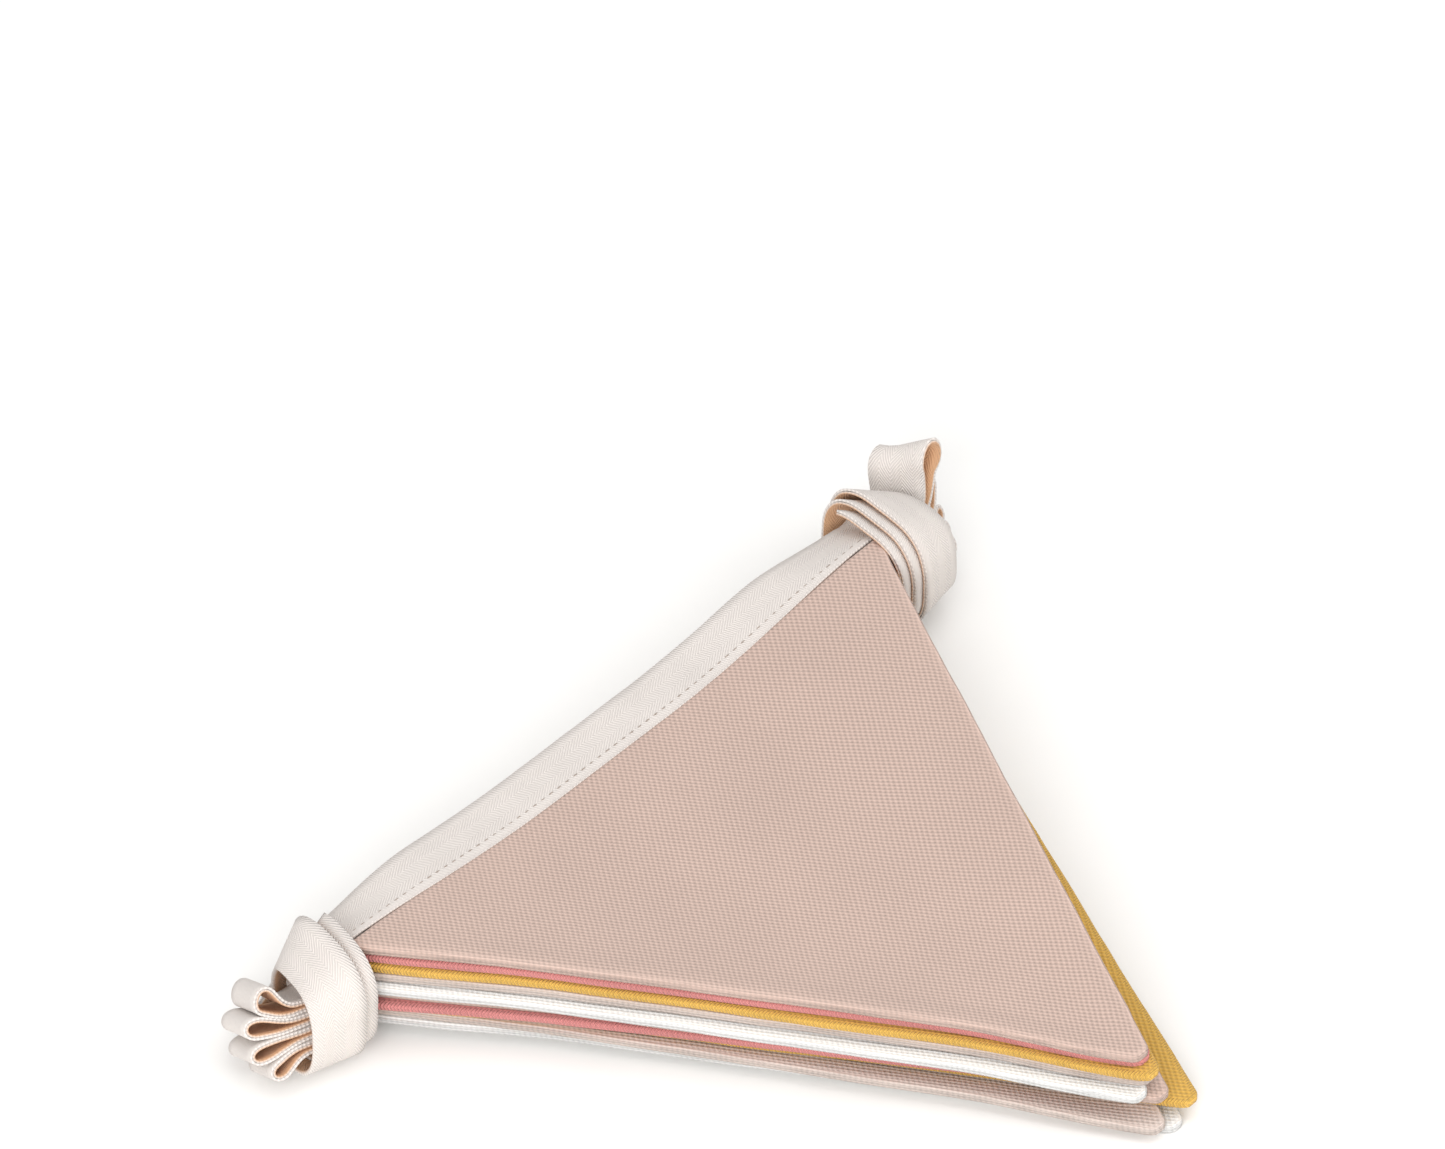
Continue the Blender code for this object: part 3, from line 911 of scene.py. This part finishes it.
class MakeTape(bpy.types.Operator):
    """Makes the folded tape with its loops at both ends"""

    bl_idname = "bunting.make_tape"
    bl_label = "Make Tape"

    def execute(self, context):
        mesh, length = ribbon("folded_tape", tape_stations())
        piece = new_piece(mesh, tape_cloth())
        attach(piece, BODY)
        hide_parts("tape")
        return {"FINISHED"}


class MakeWindings(bpy.types.Operator):
    """Makes the tape that is wound round the loops at both ends"""

    bl_idname = "bunting.make_windings"
    bl_label = "Make Windings"

    def execute(self, context):
        for name in WINDINGS:
            mesh, length = ribbon("wound_" + name, winding_stations(name))
            piece = new_piece(mesh, tape_cloth())
            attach(piece, BODY)
            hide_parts(name)
        return {"FINISHED"}


class MakeStitches(bpy.types.Operator):
    """Sews the tape to the flags with rows of small stitches"""

    bl_idname = "bunting.make_stitches"
    bl_label = "Make Stitches"

    def execute(self, context):
        sizes, colours = settings()
        curve = bpy.data.curves.new("seam_lines", "CURVE")
        curve.dimensions = "3D"
        for line in stitch_paths():
            spline = curve.splines.new("POLY")
            spline.points.add(len(line) - 1)
            for point, place in zip(spline.points, line):
                point.co = (*place, 1.0)
        guide = bpy.data.objects.new("seam_lines", curve)
        bpy.context.scene.collection.objects.link(guide)
        tree, named = stitch_tree(sizes, thread_material(colours))
        modifier = guide.modifiers.new("stitches", "NODES")
        modifier.node_group = tree
        modifier[named["Seed"]] = sizes.seed
        modifier[named["Pitch"]] = sizes.stitch_pitch
        graph = bpy.context.evaluated_depsgraph_get()
        mesh = bpy.data.meshes.new_from_object(guide.evaluated_get(graph), depsgraph=graph)
        mesh.name = "tape_stitches"
        mesh.shade_smooth()
        bpy.data.objects.remove(guide, do_unlink=True)
        piece = bpy.data.objects.new("tape_stitches", mesh)
        bpy.context.scene.collection.objects.link(piece)
        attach(piece, BODY)
        return {"FINISHED"}


def tape_cloth():
    made = bpy.data.materials.get("herringbone_cotton_tape")
    return made or tape_material(*settings())


def camera_axes():
    turn = math.radians(-CAMERA_AZIMUTH_DEG)
    rise = math.radians(CAMERA_ELEVATION_DEG)
    right = Vector((math.cos(turn), -math.sin(turn), 0.0))
    up = Vector((math.sin(turn) * math.sin(rise), math.cos(turn) * math.sin(rise), math.cos(rise)))
    return right, up, right.cross(up)


def place_camera():
    """A long lens at the photograph's viewing angle, with the top flag's corner on its pixel."""
    right, up, back = camera_axes()
    corner = to_world((0.0, 0.0, TOP_LEVEL * FLAG_PITCH + FLAG_THICK + LIFT_LEFT))
    across = (PHOTO_WIDTH / 2 - CORNER_PIXEL[0]) / PIXELS_PER_MM * MM
    above = (CORNER_PIXEL[1] - PHOTO_HEIGHT / 2) / PIXELS_PER_MM * MM
    target = corner + right * across + up * above
    distance = CAMERA_LENS_MM / SENSOR_MM * PHOTO_WIDTH / PIXELS_PER_MM * MM
    data = bpy.data.cameras.new("camera")
    data.lens = CAMERA_LENS_MM
    data.sensor_width = SENSOR_MM
    data.clip_end = CAMERA_CLIP_M
    camera = bpy.data.objects.new("camera", data)
    place = Matrix((right, up, back)).transposed().to_4x4()
    place.translation = target + back * distance
    camera.matrix_world = place
    bpy.context.scene.collection.objects.link(camera)
    bpy.context.scene.camera = camera


def place_lights():
    for row in LIGHTS:
        light = dict(zip(LIGHT_COLUMNS, row))
        turn = math.radians(light["azimuth_deg"])
        rise = math.radians(light["elevation_deg"])
        towards = Vector((math.sin(turn) * math.cos(rise), -math.cos(turn) * math.cos(rise), math.sin(rise)))
        data = bpy.data.lights.new(light["name"], "AREA")
        data.shape = "DISK"
        data.size = light["size"]
        data.energy = light["watts"]
        lamp = bpy.data.objects.new(light["name"], data)
        lamp.location = towards * light["distance"]
        lamp.rotation_euler = towards.to_track_quat("Z", "Y").to_euler()
        bpy.context.scene.collection.objects.link(lamp)


class MakeStage(bpy.types.Operator):
    """Sets the pale floor, the soft studio light and the camera"""

    bl_idname = "bunting.make_stage"
    bl_label = "Make Stage"

    def execute(self, context):
        sizes, colours = settings()
        signs = ((-1, -1), (1, -1), (1, 1), (-1, 1))
        corners = [(x * FLOOR_HALF_M, y * FLOOR_HALF_M, 0.0) for x, y in signs]
        mesh = bpy.data.meshes.new("floor")
        mesh.from_pydata(corners, [], [(0, 1, 2, 3)])
        floor = new_piece(mesh, floor_material(colours))
        world = bpy.data.worlds.new("studio")
        world.use_nodes = True
        background = world.node_tree.nodes["Background"]
        background.inputs["Color"].default_value = (1.0, 1.0, 1.0, 1.0)
        background.inputs["Strength"].default_value = WORLD_STRENGTH
        bpy.context.scene.world = world
        bpy.context.scene.view_settings.view_transform = "Standard"
        place_lights()
        place_camera()
        return {"FINISHED"}


class BuntingPanel(bpy.types.Panel):
    bl_idname = "VIEW3D_PT_bunting"
    bl_label = "Bunting"
    bl_space_type = "VIEW_3D"
    bl_region_type = "UI"
    bl_category = "Bunting"

    def draw(self, context):
        layout = self.layout
        for group in (context.scene.bunting_sizes, context.scene.bunting_colours):
            for name in group.bl_rna.properties.keys():
                if name not in {"rna_type", "name"}:
                    layout.prop(group, name)
        for operator in OPERATORS:
            layout.operator(operator.bl_idname)


OPERATORS = (MakeFlags, MakeTape, MakeWindings, MakeStitches, MakeStage)
CLASSES = (BuntingSizes, BuntingColours, *OPERATORS, BuntingPanel)


def register():
    for made in CLASSES:
        bpy.utils.register_class(made)
    bpy.types.Scene.bunting_sizes = PointerProperty(type=BuntingSizes)
    bpy.types.Scene.bunting_colours = PointerProperty(type=BuntingColours)


def unregister():
    del bpy.types.Scene.bunting_colours
    del bpy.types.Scene.bunting_sizes
    for made in reversed(CLASSES):
        bpy.utils.unregister_class(made)


def main():
    register()
    bpy.ops.bunting.make_flags()
    bpy.ops.bunting.make_tape()
    bpy.ops.bunting.make_windings()
    bpy.ops.bunting.make_stitches()
    bpy.ops.bunting.make_stage()


if __name__ == "__main__":
    main()
